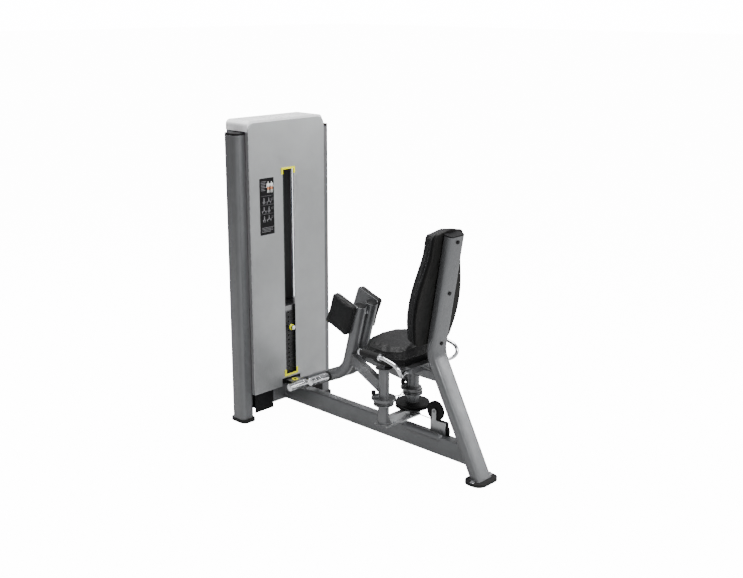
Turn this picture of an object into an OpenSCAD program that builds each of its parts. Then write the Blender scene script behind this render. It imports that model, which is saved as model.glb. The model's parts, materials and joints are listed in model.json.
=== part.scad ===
// Hip abductor and adductor machine with a shrouded weight stack, a base beam
// and two coupled leg arms. Millimetres, +Z up, the user faces +Y (the tower).
// The origin is on the floor under the middle of the machine.

/* [Overall] */
// Length from the rear foot to the rear shroud
overall_l = 1520; // [1480:1:1600]
// Width over the two columns
tower_w = 640; // [620:1:700]

/* [Tower] */
// Height of the two columns
column_h = 1500; // [1490:1:1520]
// Width of a column
column_w = 80; // [70:1:90]
// Depth of a column
column_d = 94; // [88:1:98]
// Height of the shroud's top edge
shroud_top = 1556; // [1550:1:1570]
// Width of the front shroud
shroud_w = 512; // [500:1:520]
// Width of the slot in front of the weight stack
slot_w = 72; // [64:1:80]

/* [Weight stack] */
// Number of plates below the selector pin
resting_count = 10; // [6:1:10]
// Number of plates carried by the selector pin
lifted_count = 4; // [2:1:4]
// Height from one plate to the next
plate_pitch = 25; // [24:0.5:25]

/* [Base] */
// Width of the base beam
beam_w = 56; // [50:1:60]
// Underside of the base beam
beam_z0 = 64; // [60:1:68]
// Top of the base beam
beam_z1 = 158; // [156:1:158]

/* [Rear post] */
// Width of the post across the machine
post_w = 100; // [90:1:110]
// Depth of the post along the machine
post_d = 50; // [45:1:55]
// Backward lean of the upper part, degrees
post_back_angle = 9.35; // [8:0.05:11]
// Lean of the lower part, degrees
post_leg_angle = 27.7; // [27:0.1:28.5]

/* [Leg arms] */
// Distance of each hub from the middle plane
hub_x = 105; // [103:1:110]
// Outer radius of the hub sleeves
left_sleeve_r = 27; // [26.5:0.5:29]
// Radius of the right hub's sleeve
right_sleeve_r = 33; // [31:0.5:34]
// Distance of each leg tube from the middle plane
arm_x = 40; // [38:1:44]
// Radius of a leg tube
arm_r = 30; // [27:0.5:30]
// Radius of the leg tube's bend
arm_bend_r = 150; // [130:1:160]
// Tilt of the thigh pads, degrees
pad_tilt = 20; // [10:1:24]

/* [Cushions] */
// Width of the seat
seat_w = 366; // [340:1:380]
// Thickness of the seat cushion
seat_t = 62; // [50:1:66]
// Thickness of the backrest cushion
back_t = 60; // [50:1:64]
// Thickness of a thigh cushion
pad_t = 40; // [34:1:44]

/* [Hidden] */
$fn = 48;
WALL = 3;
back_y = overall_l / 2;
col_y = back_y - 150;
col_x = tower_w / 2 - column_w / 2;
inner_x = tower_w / 2 - column_w;
shroud_y = col_y - 25;
shroud_z0 = 146;
sheet = 2.5;
slot_z0 = 208;
slot_z1 = 1307;
notch_w = 130;
notch_z1 = 188;
hood_z0 = column_h + 14;
hood_z1 = column_h + 66;
hood_r = 26;
hood_step = 8;
outlet_z = 178;

stack_y = col_y + 45;
plate_t = plate_pitch - 0.5;
plate_w = 270;
plate_d = 110;
stack_z0 = 203;
rod_x = 95;
rod_r = 12;
stem_r = 12.5;
pin_r = 5;
lift_z0 = stack_z0 + resting_count * plate_pitch;
head_z0 = lift_z0 + lifted_count * plate_pitch;
pin_z = lift_z0 + plate_t / 2;

cable_r = 2.5;
cable_x = 16;
top_pulley_r = 40;
top_pulley_y = stack_y + top_pulley_r;
top_pulley_z = 1385;
low_pulley_r = 30;
beam_cable_z = 133.5;
low_pulley_y = stack_y + 2 * top_pulley_r - low_pulley_r;
low_pulley_z = beam_cable_z + low_pulley_r;
turn_pulley_r = 40;
turn_pulley_y = -455;
turn_pulley_z = beam_cable_z + turn_pulley_r;
tension_pulley_r = 46;
tension_pulley_y = -412;
drive_z = turn_pulley_z + turn_pulley_r;
tension_pulley_z = drive_z + tension_pulley_r + 1.6;
groove = cable_r + 0.6;

bend_y = -417;
bend_z = 558;
post_bend_r = 140;
post_top = 580;
leg_len = (bend_z - 15) / cos(post_leg_angle);

hub_y = -187;
hub_post_r = 24;
fit = 0.05;
bracket_t = 8;
hub_z0 = beam_z1 + bracket_t;
sleeve_z0 = 262;
sleeve_z1 = 449;
cam_z = drive_z;
cam_r = 80;
disc_z = 296;
disc_r = 60;
disc_hole_r = 51;
drum_r = 45;
drum_z = 279;
plunger_r = 5;
plunger_angle = 150;

arm_top = [29, 703];
arm_elbow = [124, 345];
arm_end = [445, 198];
pad_c = [113, 654];
pad_l = 156;
pad_h = 172;
pivot_z = 660;
pivot_r = 10;
peg_r = 19;
peg_l = 126;
peg_y = [388, 233];

seat_front = -48;
seat_rear = -345;
seat_z1 = 590;
pan_z0 = 484;
rail_z0 = 424;
rail_z1 = 474;
handle_r = 9;
handle_x = 215;
handle_z = 549;
handle_foot = [91, -332, 467];

GREY = [0.45, 0.46, 0.47];
SILVER = [0.63, 0.64, 0.65];
WHITE = [0.9, 0.9, 0.9];
BLACK = [0.09, 0.09, 0.1];
VINYL = [0.13, 0.13, 0.14];
CHROME = [0.83, 0.84, 0.86];
YELLOW = [0.93, 0.84, 0.1];
STEEL = [0.55, 0.56, 0.58];

// Rounded rectangle about the origin
module round_rect(w, d, r) {
    square([w - 2 * r, d], center = true);
    square([w, d - 2 * r], center = true);
    for (x = [-1, 1], y = [-1, 1])
        translate([x * (w / 2 - r), y * (d / 2 - r)]) circle(r);
}

// Wall of a rounded rectangular tube
module tube_section(w, d, r, wall) {
    difference() {
        round_rect(w, d, r);
        round_rect(w - 2 * wall, d - 2 * wall, r - wall);
    }
}

// Upright panel outline, rounded at its two top corners only
module panel_outline(w, h, r) {
    translate([-w / 2, 0]) square([w, h - r]);
    translate([-w / 2 + r, 0]) square([w - 2 * r, h]);
    for (x = [-1, 1]) translate([x * (w / 2 - r), h - r]) circle(r);
}

// Cylinder along X, Y or Z from the origin
module bar_x(l, r) rotate([0, 90, 0]) cylinder(h = l, r = r);
module bar_y(l, r) rotate([-90, 0, 0]) cylinder(h = l, r = r);

// Box between two corners
module block(a, b) translate(a) cube(b - a);

module both_sides() {
    children();
    mirror([1, 0, 0]) children();
}

// Vectors and the swept tube that the cables and handles use
function unit(v) = v / norm(v);
function tangents(p) = [
    for (i = [0:len(p) - 1])
        unit(p[min(i + 1, len(p) - 1)] - p[max(i - 1, 0)])
];
function carried(t, n0) = [
    for (i = 0, n = unit(n0 - (n0 * t[0]) * t[0]); i < len(t);
         i = i + 1, n = i < len(t) ? unit(n - (n * t[i]) * t[i]) : n) n
];
module swept(p, shape, n0) {
    t = tangents(p);
    n = carried(t, n0);
    rings = len(p);
    sides = len(shape);
    points = [
        for (i = [0:rings - 1], q = shape)
            p[i] + q[0] * n[i] + q[1] * cross(t[i], n[i])
    ];
    walls = [
        for (i = [0:rings - 2], k = [0:sides - 1])
            let (k1 = (k + 1) % sides, a = i * sides, b = a + sides)
            each [[a + k, b + k, a + k1], [a + k1, b + k, b + k1]]
    ];
    ends = [
        [for (k = [0:sides - 1]) k],
        [for (k = [0:sides - 1]) rings * sides - 1 - k]
    ];
    polyhedron(points, concat(walls, ends));
}
module swept_tube(p, r, sides, n0) {
    swept(p, [for (k = [0:sides - 1]) r * [cos(360 * k / sides), sin(360 * k / sides)]], n0);
}
// Points of an arc about c, in the plane of the unit vectors u and v
function arc(c, r, u, v, a0, a1, n) = [
    for (i = [0:n]) let (a = a0 + (a1 - a0) * i / n)
        c + r * (cos(a) * u + sin(a) * v)
];
function bezier(a, b, c, d, n) = [
    for (i = [1:n]) let (t = i / n, s = 1 - t)
        s * s * s * a + 3 * s * s * t * b + 3 * s * t * t * c + t * t * t * d
];

// ---- tower ----
module column(side) {
    color(GREY) translate([side * col_x, col_y + column_d / 2, 15])
        linear_extrude(column_h - 15) tube_section(column_w, column_d, 24, WALL);
}
module left_column() column(-1);
module right_column() column(1);

module column_caps() {
    color(BLACK) both_sides() translate([col_x, col_y + column_d / 2, column_h]) {
        linear_extrude(10) round_rect(column_w, column_d, 24);
        translate([0, 0, -20]) linear_extrude(20)
            round_rect(column_w - 2 * WALL, column_d - 2 * WALL, 21);
    }
}

module column_feet() {
    color(BLACK) both_sides() translate([col_x, col_y + column_d / 2, 0])
        linear_extrude(15) round_rect(column_w + 10, column_d + 26, 30);
}

module top_crossmember() {
    color(GREY) difference() {
        translate([-inner_x, stack_y + 25, 1465]) rotate([0, 90, 0])
            linear_extrude(2 * inner_x) tube_section(40, 80, 6, WALL);
        both_sides() translate([rod_x, stack_y, 1440]) cylinder(h = 30, r = rod_r + 0.2);
    }
    color(GREY) difference() {
        both_sides() translate([11, 0, 0]) union() {
            block([0, top_pulley_y - 16, top_pulley_z], [4, top_pulley_y + 16, 1445]);
            translate([0, top_pulley_y, top_pulley_z]) bar_x(4, 16);
        }
        translate([-20, top_pulley_y, top_pulley_z]) bar_x(40, 6.2);
    }
    color(STEEL) translate([-18, top_pulley_y, top_pulley_z]) bar_x(36, 6);
}

module bottom_crossmember() {
    mid_z = (beam_z0 + beam_z1) / 2;
    color(GREY) difference() {
        translate([-inner_x, col_y + 18, mid_z]) rotate([0, 90, 0])
            linear_extrude(2 * inner_x) tube_section(beam_z1 - beam_z0, 50, 6, WALL);
        block([-6, col_y - 20, beam_cable_z - 7], [6, col_y + 60, beam_cable_z + 7]);
    }
    color(GREY) both_sides() difference() {
        block([10, col_y + 43, low_pulley_z - 22], [14, low_pulley_y + 14, low_pulley_z - 8]);
        translate([8, low_pulley_y, low_pulley_z]) bar_x(10, 5.2);
    }
    color(GREY) both_sides() difference() {
        translate([10, low_pulley_y, low_pulley_z]) bar_x(4, 13);
        translate([8, low_pulley_y, low_pulley_z]) bar_x(10, 5.2);
        block([9, low_pulley_y - 20, low_pulley_z - 22], [15, low_pulley_y + 14, low_pulley_z - 8]);
    }
    color(STEEL) translate([-17, low_pulley_y, low_pulley_z]) bar_x(34, 5);
}

module kick_plates() {
    color(BLACK) both_sides()
        block([118, col_y - 10, 40], [inner_x + 4, col_y - 7, 143]);
}

module stack_base() {
    color(GREY) difference() {
        block([-150, col_y - 5, beam_z1], [150, stack_y + 60, beam_z1 + 8]);
        block([-19, col_y + 44, beam_z1 - 1], [19, stack_y + 61, beam_z1 + 9]);
        both_sides() translate([rod_x, stack_y, beam_z1 - 1])
            cylinder(h = 10, r = rod_r + 0.2);
    }
}

module front_shroud() {
    color(SILVER) difference() {
        translate([0, shroud_y, shroud_z0]) rotate([90, 0, 0]) translate([0, 0, -24])
            linear_extrude(24) panel_outline(shroud_w, shroud_top - shroud_z0, 40);
        translate([0, shroud_y + sheet, shroud_z0]) rotate([90, 0, 0])
            translate([0, 0, -26]) linear_extrude(26)
                translate([0, -1]) panel_outline(
                    shroud_w - 2 * sheet, shroud_top - shroud_z0 - sheet + 1, 40 - sheet);
        block([-slot_w / 2, shroud_y - 1, slot_z0],
              [slot_w / 2, shroud_y + 5, slot_z1]);
        block([-notch_w / 2, shroud_y - 1, shroud_z0 - 1],
              [notch_w / 2, shroud_y + 5, notch_z1]);
        block([-shroud_w, shroud_y + hood_step, hood_z0 - 0.5],
              [shroud_w, shroud_y + 30, shroud_top + 1]);
    }
}

module rear_shroud() {
    w = 2 * inner_x + 20;
    color(GREY) difference() {
        block([-w / 2, col_y + column_d + 1, 60], [w / 2, back_y, hood_z0 - 0.5]);
        block([-w / 2 + sheet, col_y + column_d, 59],
              [w / 2 - sheet, back_y - sheet, hood_z0]);
    }
}

module top_hood() {
    h = hood_z1 - hood_z0;
    w = shroud_w - 2 * sheet - 1;
    y0 = shroud_y + hood_step + 0.5;
    color(WHITE) difference() {
        translate([0, back_y, hood_z0]) rotate([90, 0, 0])
            linear_extrude(back_y - y0) panel_outline(w, h, hood_r);
        translate([0, back_y - sheet, hood_z0 - 1]) rotate([90, 0, 0])
            linear_extrude(back_y - y0 - 2 * sheet)
                panel_outline(w - 2 * sheet, h + 1 - sheet, hood_r - sheet);
    }
}

// One U-shaped trim round an end of the slot
module slot_bracket(leg) {
    w = slot_w / 2 + 10;
    block([-w, 0, 0], [w, 4, 10]);
    for (x = [-w, slot_w / 2]) block([x, 0, 10], [x + 10, 4, leg]);
}
module slot_brackets() {
    color(YELLOW) translate([0, shroud_y - 4, slot_z0 - 10]) slot_bracket(34);
    color(YELLOW) translate([0, shroud_y, slot_z1 + 10]) mirror([0, 0, 1])
        translate([0, -4, 0]) slot_bracket(34);
}

module placard() {
    color(BLACK) block([-192, shroud_y - 1.5, 988], [-99, shroud_y, 1277]);
}

module outlet_box() {
    color(BLACK) block([-36, shroud_y - 53, beam_z1], [36, shroud_y + sheet + 1, outlet_z - 3]);
    color(BLACK) block([-notch_w / 2 - 6, shroud_y + sheet, beam_z1],
                       [notch_w / 2 + 6, shroud_y + sheet + 3, notch_z1 + 6]);
}
module outlet_plate() {
    color(GREY) translate([0, shroud_y - 28, outlet_z - 3]) difference() {
        linear_extrude(3) round_rect(76, 56, 3);
        translate([0, 0, -1]) cylinder(h = 5, r = 10);
    }
}
module outlet_ring() {
    color(YELLOW) translate([0, shroud_y - 28, outlet_z]) difference() {
        cylinder(h = 2, r = 17);
        translate([0, 0, -1]) cylinder(h = 4, r = 10);
    }
}

// ---- weight stack ----
module guide_rods() {
    color(CHROME) both_sides() translate([rod_x, stack_y, beam_z1])
        cylinder(h = 1468 - beam_z1, r = rod_r);
}

module rod_bumpers() {
    color(BLACK) both_sides() translate([rod_x, stack_y, beam_z1 + 8]) difference() {
        cylinder(h = stack_z0 - beam_z1 - 8.5, r = 24);
        translate([0, 0, -1]) cylinder(h = 60, r = rod_r + 0.1);
    }
}

// A weight plate with its rod holes, stem hole and pin hole
module weight_plate(h) {
    difference() {
        translate([-plate_w / 2, stack_y - plate_d / 2, 0]) cube([plate_w, plate_d, h]);
        both_sides() translate([rod_x, stack_y, -1]) cylinder(h = h + 2, r = rod_r + 1.5);
        translate([0, stack_y, -1]) cylinder(h = h + 2, r = stem_r + 1.5);
        translate([0, stack_y - plate_d / 2 - 1, h / 2]) bar_y(plate_d / 2, pin_r + 0.1);
    }
}
module resting_plates() {
    color(BLACK) for (i = [0:resting_count - 1])
        translate([0, 0, stack_z0 + i * plate_pitch]) weight_plate(plate_t);
}
module lifted_plates() {
    color(BLACK) for (i = [0:lifted_count - 1])
        translate([0, 0, lift_z0 + i * plate_pitch]) weight_plate(plate_t);
}
module head_plate() {
    color(GREY) difference() {
        translate([-plate_w / 2, stack_y - plate_d / 2, head_z0])
            cube([plate_w, plate_d, 26]);
        both_sides() translate([rod_x, stack_y, head_z0 - 1])
            cylinder(h = 28, r = rod_r + 0.5);
        translate([0, stack_y, head_z0 - 1]) cylinder(h = 28, r = stem_r);
    }
}
module selector_stem() {
    color(CHROME) difference() {
        union() {
            translate([0, stack_y, stack_z0 + 2])
                cylinder(h = head_z0 + 26 - stack_z0 - 2, r = stem_r);
            translate([0, stack_y, head_z0 + 26]) cylinder(h = 24, r = 17);
        }
        for (i = [0:resting_count + lifted_count - 1])
            translate([0, stack_y - 20, stack_z0 + i * plate_pitch + plate_t / 2])
                bar_y(40, pin_r + 0.05);
    }
}
module selector_pin() {
    color(CHROME) translate([0, 0, pin_z]) {
        translate([0, shroud_y + 3, 0]) bar_y(stack_y + stem_r - 2 - shroud_y - 3, pin_r);
        translate([0, shroud_y - 25, 0]) bar_y(20, 11);
        translate([0, shroud_y - 5, 0]) bar_y(8, 14);
    }
}

// ---- base ----
// Outside of the bent rear post, or its bore with a negative grow
post_turn = post_leg_angle + post_back_angle;
post_setback = post_bend_r * tan(post_turn / 2);
post_dir = [0, sin(post_leg_angle), cos(post_leg_angle)];
post_side = [0, -cos(post_leg_angle), sin(post_leg_angle)];
post_up = [0, -sin(post_back_angle), cos(post_back_angle)];
post_bend = [0, bend_y, bend_z];
// Centre line of the post, longer by "past" at each end
function post_route(past) = concat(
    [post_bend - (leg_len + 40 + past) * post_dir],
    arc(post_bend - post_setback * post_dir + post_bend_r * post_side,
        post_bend_r, -post_side, post_dir, 0, post_turn, 8),
    [post_bend + (post_top + past) * post_up]
);
function post_shape(grow) = [
    for (c = [[1, 1, 0], [-1, 1, 90], [-1, -1, 180], [1, -1, 270]], k = [0:4])
        let (a = c[2] + 22.5 * k)
        [c[0] * (post_w / 2 - 14) + (14 + grow) * cos(a),
         c[1] * (post_d / 2 - 14) + (14 + grow) * sin(a)]
];
// The straight lower leg, to shape the parts welded to it
module post_leg() {
    translate(post_bend) rotate([-post_leg_angle, 0, 0]) translate([0, 0, -leg_len - 40])
        linear_extrude(leg_len + 40 - post_setback) round_rect(post_w, post_d, 14);
}

// Bores through the upper post for the backrest bolts
bolt_up = [57, 308, 555];
module post_bolts(r, y0, y1) {
    translate([0, bend_y, bend_z]) rotate([post_back_angle, 0, 0])
        for (v = bolt_up) translate([0, y0, v]) bar_y(y1 - y0, r);
}

module rear_post() {
    color(GREY) difference() {
        swept(post_route(0), post_shape(0), [1, 0, 0]);
        swept(post_route(10), post_shape(-WALL), [1, 0, 0]);
        block([-100, -1200, -60], [100, 0, 15]);
        post_bolts(5.2, -40, 40);
    }
}

module post_cap() {
    color(BLACK) translate([0, bend_y, bend_z]) rotate([post_back_angle, 0, 0])
        translate([0, 0, post_top]) {
            linear_extrude(6) round_rect(post_w, post_d, 14);
            translate([0, 0, -18]) linear_extrude(18)
                round_rect(post_w - 2 * WALL - 1, post_d - 2 * WALL - 1, 11);
        }
}

module rear_foot() {
    color(BLACK) translate([0, -back_y + 55, 0]) linear_extrude(15)
        round_rect(160, 110, 45);
}

module base_beam() {
    mid_z = (beam_z0 + beam_z1) / 2;
    front = col_y - 7;
    color(GREY) difference() {
        translate([0, front, mid_z]) rotate([90, 0, 0])
            linear_extrude(front + 660) difference() {
                round_rect(beam_w, beam_z1 - beam_z0, 8);
                round_rect(beam_w - 2 * WALL, beam_z1 - beam_z0 - 2 * WALL, 5);
            }
        post_leg();
        translate([0, bend_y, bend_z]) rotate([-post_leg_angle, 0, 0])
            translate([-60, -120, -leg_len - 40]) cube([120, 120, leg_len]);
        block([cable_x - 8, turn_pulley_y - 50, beam_z1 - 12],
              [cable_x + 8, turn_pulley_y + 50, beam_z1 + 5]);
    }
}

module beam_cover() {
    x = -beam_w / 2 + 8;
    z = beam_z1 - 6;
    color(GREY) difference() {
        union() {
            translate([x, -465, z]) bar_y(205, 18);
            translate([x, -465, z]) sphere(18);
            translate([x, -260, z]) sphere(18);
        }
        block([-beam_w / 2, -600, beam_z0], [beam_w / 2, 0, beam_z1]);
    }
}

module hub_base() {
    color(SILVER) block([-hub_x - 20, hub_y - 40, beam_z1], [hub_x + 20, hub_y + 40, hub_z0]);
    color(GREY) both_sides() translate([hub_x, hub_y, hub_z0]) {
        cylinder(h = 8, r = right_sleeve_r + 4);
        cylinder(h = sleeve_z1 - hub_z0 + 0.5, r = hub_post_r);
    }
    color(GREY) translate([-hub_x, hub_y, hub_z0])
        cylinder(h = sleeve_z0 - hub_z0 - 0.5, r = left_sleeve_r);
    color(GREY) translate([hub_x, hub_y, hub_z0])
        cylinder(h = cam_z - 12 - hub_z0 - 0.5, r = right_sleeve_r);
    // Cross rib between the two posts
    color(SILVER) block([-hub_x + 20, hub_y - 15, hub_z0], [hub_x - 20, hub_y + 15, hub_z0 + 30]);
}

module hub_caps() {
    color(GREY) for (cap = [[-hub_x, 41, 4], [hub_x, right_sleeve_r + 3, 7]])
        translate([cap[0], hub_y, sleeve_z1 + 0.5]) {
            cylinder(h = cap[2], r = cap[1]);
            translate([0, 0, cap[2]]) cylinder(h = 7, r = 11, $fn = 6);
        }
}

module seat_rail() {
    color(GREY) difference() {
        translate([0, -125, (rail_z0 + rail_z1) / 2]) rotate([90, 0, 0])
            linear_extrude(400) tube_section(50, rail_z1 - rail_z0, 8, WALL);
        post_leg();
        translate([0, bend_y, bend_z]) rotate([-post_leg_angle, 0, 0])
            translate([-60, -120, -leg_len]) cube([120, 120, leg_len]);
    }
    // Crosspiece that the handles are welded to
    color(GREY) both_sides() block([25, handle_foot[1] - 20, rail_z1 - 20],
        [handle_foot[0], handle_foot[1] + 20, pan_z0]);
    color(GREY) block([-25, handle_foot[1] - 20, rail_z1], [25, handle_foot[1] + 20, pan_z0]);
    color(GREY) block([-70, -160, rail_z1], [70, -130, pan_z0]);
}

// Seat outline: a wide rounded rear and a drawn-in rounded nose
function seat_half(t) = seat_w / 2 * sqrt(1 - pow(abs(2 * t - 0.9) / 1.1, 2.6));
function seat_outline(inset) =
    let (l = seat_front - seat_rear - 2 * inset, n = 20, k = 1 - 2 * inset / seat_w)
    concat(
        [for (i = [0:n]) let (t = i / n)
            [k * seat_half(t), seat_rear + inset + l * t]],
        [for (i = [n - 1:-1:0]) let (t = i / n)
            [-k * seat_half(t), seat_rear + inset + l * t]]
    );
module seat_pan() {
    mid = (seat_front + seat_rear) / 2;
    color(BLACK) translate([0, mid, seat_z1 - seat_t - 0.5]) mirror([0, 0, 1])
        linear_extrude(seat_z1 - seat_t - 0.5 - pan_z0, scale = 0.82)
            translate([0, -mid]) polygon(seat_outline(6));
}
module seat_cushion() {
    color(VINYL) translate([0, 0, seat_z1 - seat_t])
        linear_extrude(seat_t) polygon(seat_outline(0));
}

// Backrest outline: wide at the lumbar part, narrower above and at the foot
back_v0 = 44;
back_v1 = 600;
function back_half(t) =
    let (wide = 167, top = 112, foot = 128,
         low = foot + (wide - foot) * sin(90 * min(1, t / 0.32)),
         high = top + (wide - top) * pow(cos(90 * min(1, max(0, (t - 0.34) / 0.46))), 1.4),
         end = 1 - pow(max(0, (t - 0.9) / 0.1), 3))
    min(low, high) * pow(max(end, 0), 0.35) * (t < 0.02 ? 0.93 : 1);
function back_outline(k) = let (n = 36) concat(
    [for (i = [0:n]) let (t = i / n) [k * back_half(t), back_v0 + (back_v1 - back_v0) * t]],
    [for (i = [n - 1:-1:0]) let (t = i / n)
        [-k * back_half(t), back_v0 + (back_v1 - back_v0) * t]]
);
module on_post() {
    translate([0, bend_y, bend_z]) rotate([post_back_angle, 0, 0]) children();
}
module backrest_board() {
    color(BLACK) on_post() difference() {
        translate([0, post_d / 2 + 12.1, 0]) rotate([90, 0, 0])
            linear_extrude(12) polygon(back_outline(0.9));
        for (v = bolt_up) translate([0, 20, v]) bar_y(30, 5.2);
    }
}
module backrest_cushion() {
    color(VINYL) on_post() translate([0, post_d / 2 + 12.3 + back_t, 0])
        rotate([90, 0, 0]) linear_extrude(back_t) polygon(back_outline(1));
}
module backrest_bolts() {
    color(BLACK) on_post() for (v = bolt_up) {
        translate([0, -post_d / 2 - 4, v]) bar_y(post_d + 14, 5);
        translate([0, -post_d / 2 - 5, v]) bar_y(5, 9);
    }
}

handle_route = concat(
    [[handle_x, -139, handle_z], [handle_x, -200, handle_z], [handle_x, -284, handle_z]],
    bezier([handle_x, -330, handle_z - 9], [handle_x, -398, handle_z - 23],
           [212, -388, handle_foot[2]], [150, -345, handle_foot[2]], 12),
    [[120, handle_foot[1], handle_foot[2]], handle_foot]
);
module handles() {
    color(CHROME) both_sides() swept_tube(handle_route, handle_r, 20, [0, 0, 1]);
    // Collars at the two ends of each grip; the front one closes the bar
    color(CHROME) both_sides() for (y = [-146, -272]) translate([handle_x, y, handle_z])
        difference() {
            bar_y(10, 17);
            translate([0, -1, 0]) bar_y(y == -146 ? 8.2 : 12, handle_r + 0.2);
        }
}
module grips() {
    color(BLACK) both_sides() translate([handle_x, -262, handle_z]) difference() {
        bar_y(116, 16);
        translate([0, -1, 0]) bar_y(118, handle_r + 0.2);
    }
}

// ---- pulleys and cables ----
module pulley(r, w, bore) {
    rotate([0, 90, 0]) rotate_extrude() difference() {
        translate([bore, -w / 2]) square([r + 3 - bore, w]);
        translate([r, 0]) circle(groove);
        translate([r, -groove]) square([10, 2 * groove]);
    }
}
module rear_pulley_bracket() {
    h = tension_pulley_z;
    for (side = [-1, 1]) color(GREY) difference() {
        translate([cable_x + side * 11 - 2, 0, 0]) {
            block([0, turn_pulley_y - 28, beam_z1], [4, tension_pulley_y + 22, beam_z1 + 60]);
            block([0, tension_pulley_y - 13, beam_z1], [4, tension_pulley_y + 13, h]);
            translate([0, tension_pulley_y, h]) bar_x(4, 13);
        }
        translate([cable_x - 30, tension_pulley_y, h]) bar_x(60, 6.2);
        translate([cable_x - 30, turn_pulley_y, turn_pulley_z]) bar_x(60, 6.2);
    }
    color(STEEL) {
        translate([cable_x - 17, tension_pulley_y, h]) bar_x(34, 6);
        translate([cable_x - 9, turn_pulley_y, turn_pulley_z]) bar_x(26, 6);
    }
}
module tension_pulley() {
    color(BLACK) translate([cable_x, tension_pulley_y, tension_pulley_z])
        pulley(tension_pulley_r, 14, 6.05);
}
module turn_pulley() {
    color(BLACK) translate([cable_x, turn_pulley_y, turn_pulley_z])
        pulley(turn_pulley_r, 14, 6.05);
}
module low_pulley() {
    color(BLACK) translate([0, low_pulley_y, low_pulley_z]) pulley(low_pulley_r, 16, 5.05);
}
module top_pulley() {
    color(BLACK) translate([0, top_pulley_y, top_pulley_z]) pulley(top_pulley_r, 16, 6.05);
}

X = [1, 0, 0];
Y = [0, 1, 0];
Z = [0, 0, 1];
drive_route = concat(
    arc([hub_x, hub_y, cam_z], cam_r, X, Y, 60, 174, 12),
    [[cable_x + 5, -270, drive_z], [cable_x, -360, drive_z]],
    arc([cable_x, turn_pulley_y, turn_pulley_z], turn_pulley_r, Y, Z, 90, 270, 12),
    [[cable_x, -380, beam_cable_z], [12, -100, beam_cable_z], [4, 300, beam_cable_z],
     [0, 600, beam_cable_z]],
    arc([0, low_pulley_y, low_pulley_z], low_pulley_r, Y, Z, -90, 0, 6),
    [[0, top_pulley_y + top_pulley_r, 800]],
    arc([0, top_pulley_y, top_pulley_z], top_pulley_r, Y, Z, 0, 180, 12)
);
module drive_cable() {
    color(BLACK) swept_tube(drive_route, cable_r, 8, [0, 0, 1]);
}
module stack_cable() {
    z0 = head_z0 + 50;
    color(BLACK) translate([0, stack_y, z0]) cylinder(h = top_pulley_z - z0, r = cable_r);
}

// Two crossed cables make the hubs turn in opposite directions
sync_half = acos(drum_r / hub_x);
module sync_cables() {
    for (side = [-1, 1]) let (z = drum_z + side * 4) color(BLACK) swept_tube(concat(
        arc([-hub_x, hub_y, z], drum_r, X, side * Y, 200, sync_half, 10),
        arc([hub_x, hub_y, z], drum_r, X, side * Y, 180 + sync_half, 340, 10)
    ), cable_r, 8, Z);
}

// ---- leg arms ----
module disc_holes(r, z0, z1) {
    for (a = [plunger_angle - 60:12:plunger_angle + 48])
        rotate([0, 0, a]) translate([disc_hole_r, 0, z0]) cylinder(h = z1 - z0, r = r);
}
// Sleeve with the adjuster disc, the sync drum and the plunger's lug
module hub_sleeve(z0, sleeve_r, with_cam) {
    difference() {
        union() {
            translate([0, 0, z0]) cylinder(h = sleeve_z1 - z0, r = sleeve_r);
            translate([0, 0, drum_z - 13]) rotate_extrude() difference() {
                square([drum_r + 4, 26]);
                for (g = [9, 17]) translate([drum_r, g]) {
                    circle(groove);
                    translate([0, -groove]) square([10, 2 * groove]);
                }
            }
            // The right disc is cut back to a collar away from its holes
            translate([0, 0, disc_z]) intersection() {
                cylinder(h = 8, r = disc_r);
                rotate([0, 0, plunger_angle])
                    block([with_cam ? -8 : -disc_r, -disc_r, 0], [disc_r, disc_r, 8]);
            }
            translate([0, 0, disc_z]) cylinder(h = 8, r = 44);
            rotate([0, 0, plunger_angle]) {
                block([sleeve_r - 4, -9, disc_z + 12], [disc_hole_r, 9, disc_z + 22]);
                translate([disc_hole_r, 0, disc_z + 12]) cylinder(h = 10, r = 9);
            }
            if (with_cam) translate([0, 0, cam_z - 12]) rotate_extrude() difference() {
                square([cam_r + 5, 24]);
                translate([cam_r, 12]) circle(groove);
                translate([cam_r, 12 - groove]) square([10, 2 * groove]);
            }
        }
        translate([0, 0, z0 - 40]) cylinder(h = sleeve_z1 - z0 + 80, r = hub_post_r + fit);
        disc_holes(plunger_r + 0.1, disc_z - 1, disc_z + 9);
        rotate([0, 0, plunger_angle]) translate([disc_hole_r, 0, disc_z + 10])
            cylinder(h = 16, r = plunger_r + fit);
    }
}
module left_hub_sleeve() {
    color(GREY) translate([-hub_x, hub_y, 0]) hub_sleeve(sleeve_z0, left_sleeve_r, false);
}
module right_hub_sleeve() {
    color(GREY) translate([hub_x, hub_y, 0])
        hub_sleeve(cam_z - 12, right_sleeve_r, true);
}

// Outside of a bent leg tube on the left, or its bore with a negative grow
up_dir = unit(arm_top - arm_elbow);
out_dir = unit(arm_end - arm_elbow);
up_tilt = -atan2(up_dir[0], up_dir[1]);
out_tilt = -atan2(out_dir[0], out_dir[1]);
inside = acos(up_dir * out_dir);
arm_arc = arm_elbow + arm_bend_r / sin(inside / 2) * unit(up_dir + out_dir);
// Straight lengths of a leg tube, with the radius of its outside
module upper_leg(r) {
    translate([-arm_x, arm_elbow[0], arm_elbow[1]]) rotate([up_tilt, 0, 0])
        translate([0, 0, -40]) cylinder(h = norm(arm_top - arm_elbow) + 40, r = r);
}
module lower_leg(r) {
    translate([-arm_x, arm_elbow[0], arm_elbow[1]]) rotate([out_tilt, 0, 0])
        cylinder(h = norm(arm_end - arm_elbow), r = r);
}
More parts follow.
